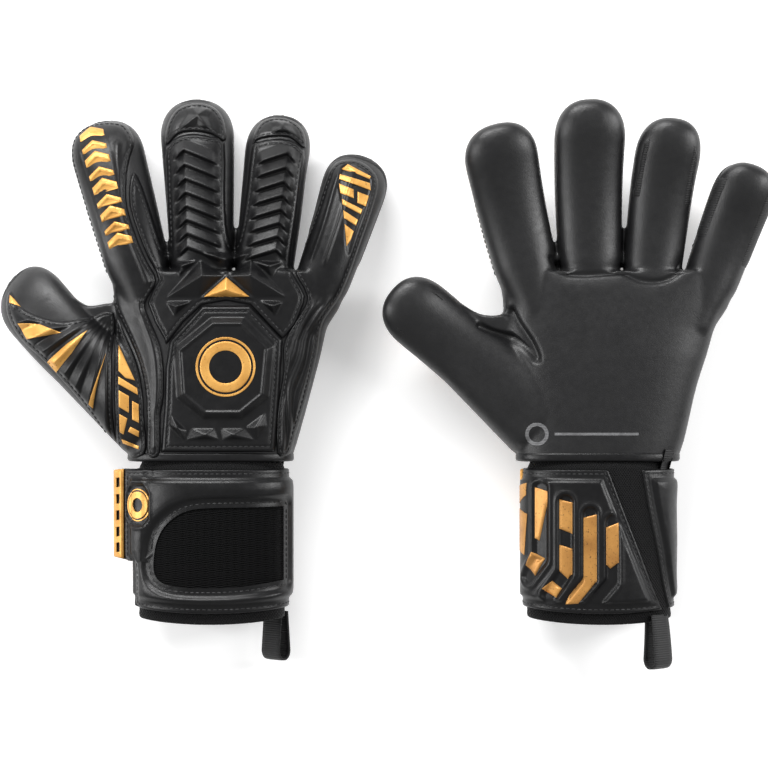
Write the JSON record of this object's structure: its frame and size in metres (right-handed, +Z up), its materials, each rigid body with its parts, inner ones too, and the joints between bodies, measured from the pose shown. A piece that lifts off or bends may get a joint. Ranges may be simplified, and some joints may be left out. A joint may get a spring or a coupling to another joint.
{
  "type": "goalkeeper gloves",
  "caption": "Pair of padded latex goalkeeper gloves with jointed finger stalls, wrap-around wrist strap, peeling pull tab and pull-on loop.",
  "frame": {"origin": "middle of the pair's footprint, at the lowest point of both gloves as they lie on a table", "axes": "+X from the right-hand glove to the left-hand glove, +Y from cuffs to fingertips, +Z up"},
  "size_m": [0.4206, 0.305, 0.0509],
  "materials": {
    "latex_foam": "matt",
    "panel_foam": "satin",
    "knit": "matt open knit",
    "webbing": "woven",
    "gold_trim": "metallic bronze gold, satin"
  },
  "bodies": {
    "right_hand": {"right_palm_latex": "latex_foam", "right_backhand_panel": "panel_foam", "right_knuckle_guard": "panel_foam", "right_shield_boss": "panel_foam", "right_index_side_panel": "panel_foam", "right_pinky_side_panel": "panel_foam", "right_thumb_side_panel": "panel_foam", "right_web_gusset": "latex_foam"},
    "right_index_base": {"right_index_base": "latex_foam"},
    "right_index_tip": {"right_index_tip": "latex_foam"},
    "right_middle_base": {"right_middle_base": "latex_foam"},
    "right_middle_tip": {"right_middle_tip": "latex_foam"},
    "right_ring_base": {"right_ring_base": "latex_foam"},
    "right_ring_tip": {"right_ring_tip": "latex_foam"},
    "right_pinky_base": {"right_pinky_base": "latex_foam"},
    "right_pinky_tip": {"right_pinky_tip": "latex_foam"},
    "right_thumb_base": {"right_thumb_base": "latex_foam"},
    "right_thumb_tip": {"right_thumb_tip": "latex_foam"},
    "right_cuff": {"right_bandage_sleeve": "knit", "right_cuff_palm_panel": "panel_foam", "right_strap_root_panel": "panel_foam", "right_side_ribbon": "webbing", "right_loop_patch": "webbing"},
    "right_strap": {"right_strap_back_panel": "panel_foam", "right_strap_mesh_window": "knit"},
    "right_strap_tab": {"right_strap_tab": "panel_foam", "right_hook_patch": "webbing", "right_pull_grip": "gold_trim", "right_tab_badge": "gold_trim"},
    "right_pull_loop": {"right_pull_loop": "webbing"},
    "left_hand": {"left_palm_latex": "latex_foam", "left_backhand_panel": "panel_foam", "left_knuckle_guard": "panel_foam", "left_shield_boss": "panel_foam", "left_index_side_panel": "panel_foam", "left_pinky_side_panel": "panel_foam", "left_thumb_side_panel": "panel_foam", "left_web_gusset": "latex_foam"},
    "left_index_base": {"left_index_base": "latex_foam"},
    "left_index_tip": {"left_index_tip": "latex_foam"},
    "left_middle_base": {"left_middle_base": "latex_foam"},
    "left_middle_tip": {"left_middle_tip": "latex_foam"},
    "left_ring_base": {"left_ring_base": "latex_foam"},
    "left_ring_tip": {"left_ring_tip": "latex_foam"},
    "left_pinky_base": {"left_pinky_base": "latex_foam"},
    "left_pinky_tip": {"left_pinky_tip": "latex_foam"},
    "left_thumb_base": {"left_thumb_base": "latex_foam"},
    "left_thumb_tip": {"left_thumb_tip": "latex_foam"},
    "left_cuff": {"left_bandage_sleeve": "knit", "left_cuff_palm_panel": "panel_foam", "left_strap_root_panel": "panel_foam", "left_side_ribbon": "webbing", "left_loop_patch": "webbing"},
    "left_strap": {"left_strap_back_panel": "panel_foam", "left_strap_mesh_window": "knit"},
    "left_strap_tab": {"left_strap_tab": "panel_foam", "left_hook_patch": "webbing", "left_pull_grip": "gold_trim", "left_tab_badge": "gold_trim"},
    "left_pull_loop": {"left_pull_loop": "webbing"}
  },
  "joints": [
    {"name": "right_index_knuckle", "type": "hinge", "parent": "right_hand", "child": "right_index_base", "pos_m": [-0.13466, 0.06687, 0.01064], "axis": [-1, 0, 0], "range_deg": [0, 70], "stiffness_Nm_per_rad": 0.3},
    {"name": "right_index_bend", "type": "hinge", "parent": "right_index_base", "child": "right_index_tip", "pos_m": [-0.14242, 0.09687, 0.00834], "axis": [-1, 0, 0], "range_deg": [0, 70], "stiffness_Nm_per_rad": 0.2},
    {"name": "right_middle_knuckle", "type": "hinge", "parent": "right_hand", "child": "right_middle_base", "pos_m": [-0.09916, 0.06987, 0.01064], "axis": [-1, 0, 0], "range_deg": [0, 70], "stiffness_Nm_per_rad": 0.3},
    {"name": "right_middle_bend", "type": "hinge", "parent": "right_middle_base", "child": "right_middle_tip", "pos_m": [-0.10022, 0.10387, 0.00828], "axis": [-1, 0, 0], "range_deg": [0, 70], "stiffness_Nm_per_rad": 0.2},
    {"name": "right_ring_knuckle", "type": "hinge", "parent": "right_hand", "child": "right_ring_base", "pos_m": [-0.06476, 0.06687, 0.01114], "axis": [-1, 0, 0], "range_deg": [0, 70], "stiffness_Nm_per_rad": 0.3},
    {"name": "right_ring_bend", "type": "hinge", "parent": "right_ring_base", "child": "right_ring_tip", "pos_m": [-0.061, 0.09987, 0.00857], "axis": [-1, 0, 0], "range_deg": [0, 70], "stiffness_Nm_per_rad": 0.2},
    {"name": "right_pinky_knuckle", "type": "hinge", "parent": "right_hand", "child": "right_pinky_base", "pos_m": [-0.03286, 0.05787, 0.01174], "axis": [-1, 0, 0], "range_deg": [0, 70], "stiffness_Nm_per_rad": 0.3},
    {"name": "right_pinky_bend", "type": "hinge", "parent": "right_pinky_base", "child": "right_pinky_tip", "pos_m": [-0.02329, 0.08487, 0.00943], "axis": [-1, 0, 0], "range_deg": [0, 70], "stiffness_Nm_per_rad": 0.2},
    {"name": "right_thumb_knuckle", "type": "hinge", "parent": "right_hand", "child": "right_thumb_base", "pos_m": [-0.16398, 0.01459, 0.01054], "axis": [-0.6559, -0.7549, 0], "range_deg": [0, 30], "stiffness_Nm_per_rad": 0.3},
    {"name": "right_thumb_bend", "type": "hinge", "parent": "right_thumb_base", "child": "right_thumb_tip", "pos_m": [-0.18286, 0.03098, 0.00878], "axis": [-0.6559, -0.7549, 0], "range_deg": [0, 45], "stiffness_Nm_per_rad": 0.2},
    {"name": "right_wrist_flex", "type": "hinge", "parent": "right_hand", "child": "right_cuff", "pos_m": [-0.09366, -0.04263, 0.02544], "axis": [-1, 0, 0], "range_deg": [-10, 10], "stiffness_Nm_per_rad": 1},
    {"name": "right_strap_open", "type": "hinge", "parent": "right_cuff", "child": "right_strap", "pos_m": [-0.05766, -0.08313, 0.04331], "axis": [0, 1, 0], "range_deg": [0, 110], "stiffness_Nm_per_rad": 0.03},
    {"name": "right_tab_peel", "type": "hinge", "parent": "right_strap", "child": "right_strap_tab", "pos_m": [-0.12666, -0.07063, 0.04586], "axis": [0, 1, 0], "range_deg": [0, 60], "stiffness_Nm_per_rad": 0.02},
    {"name": "right_loop_swing", "type": "hinge", "parent": "right_cuff", "child": "right_pull_loop", "pos_m": [-0.06166, -0.12933, 0.01244], "axis": [1, 0, 0], "range_deg": [-30, 30], "stiffness_Nm_per_rad": 0.01},
    {"name": "left_index_knuckle", "type": "hinge", "parent": "left_hand", "child": "left_index_base", "pos_m": [0.07484, 0.06687, 0.04024], "axis": [1, 0, 0], "range_deg": [0, 70], "stiffness_Nm_per_rad": 0.3},
    {"name": "left_index_bend", "type": "hinge", "parent": "left_index_base", "child": "left_index_tip", "pos_m": [0.06709, 0.09687, 0.04253], "axis": [1, 0, 0], "range_deg": [0, 70], "stiffness_Nm_per_rad": 0.2},
    {"name": "left_middle_knuckle", "type": "hinge", "parent": "left_hand", "child": "left_middle_base", "pos_m": [0.11034, 0.06987, 0.04024], "axis": [1, 0, 0], "range_deg": [0, 70], "stiffness_Nm_per_rad": 0.3},
    {"name": "left_middle_bend", "type": "hinge", "parent": "left_middle_base", "child": "left_middle_tip", "pos_m": [0.10927, 0.10387, 0.04259], "axis": [1, 0, 0], "range_deg": [0, 70], "stiffness_Nm_per_rad": 0.2},
    {"name": "left_ring_knuckle", "type": "hinge", "parent": "left_hand", "child": "left_ring_base", "pos_m": [0.14474, 0.06687, 0.03974], "axis": [1, 0, 0], "range_deg": [0, 70], "stiffness_Nm_per_rad": 0.3},
    {"name": "left_ring_bend", "type": "hinge", "parent": "left_ring_base", "child": "left_ring_tip", "pos_m": [0.1485, 0.09987, 0.0423], "axis": [1, 0, 0], "range_deg": [0, 70], "stiffness_Nm_per_rad": 0.2},
    {"name": "left_pinky_knuckle", "type": "hinge", "parent": "left_hand", "child": "left_pinky_base", "pos_m": [0.17664, 0.05787, 0.03914], "axis": [1, 0, 0], "range_deg": [0, 70], "stiffness_Nm_per_rad": 0.3},
    {"name": "left_pinky_bend", "type": "hinge", "parent": "left_pinky_base", "child": "left_pinky_tip", "pos_m": [0.18621, 0.08487, 0.04145], "axis": [1, 0, 0], "range_deg": [0, 70], "stiffness_Nm_per_rad": 0.2},
    {"name": "left_thumb_knuckle", "type": "hinge", "parent": "left_hand", "child": "left_thumb_base", "pos_m": [0.04552, 0.01459, 0.04034], "axis": [0.6559, 0.7549, 0], "range_deg": [0, 30], "stiffness_Nm_per_rad": 0.3},
    {"name": "left_thumb_bend", "type": "hinge", "parent": "left_thumb_base", "child": "left_thumb_tip", "pos_m": [0.02664, 0.03098, 0.04209], "axis": [0.6559, 0.7549, 0], "range_deg": [0, 45], "stiffness_Nm_per_rad": 0.2},
    {"name": "left_wrist_flex", "type": "hinge", "parent": "left_hand", "child": "left_cuff", "pos_m": [0.11584, -0.04263, 0.02544], "axis": [1, 0, 0], "range_deg": [-10, 10], "stiffness_Nm_per_rad": 1},
    {"name": "left_strap_open", "type": "hinge", "parent": "left_cuff", "child": "left_strap", "pos_m": [0.15184, -0.08313, 0.00756], "axis": [0, -1, 0], "range_deg": [0, 110], "stiffness_Nm_per_rad": 0.03},
    {"name": "left_tab_peel", "type": "hinge", "parent": "left_strap", "child": "left_strap_tab", "pos_m": [0.08284, -0.07063, 0.00501], "axis": [0, -1, 0], "range_deg": [0, 60], "stiffness_Nm_per_rad": 0.02},
    {"name": "left_loop_swing", "type": "hinge", "parent": "left_cuff", "child": "left_pull_loop", "pos_m": [0.14784, -0.12933, 0.03844], "axis": [-1, 0, 0], "range_deg": [-30, 30], "stiffness_Nm_per_rad": 0.01},
    {"name": "left_glove_lift", "type": "slide", "parent": "right_hand", "child": "left_hand", "axis": [0, 0, 1], "range_m": [0, 0.15]}
  ]
}
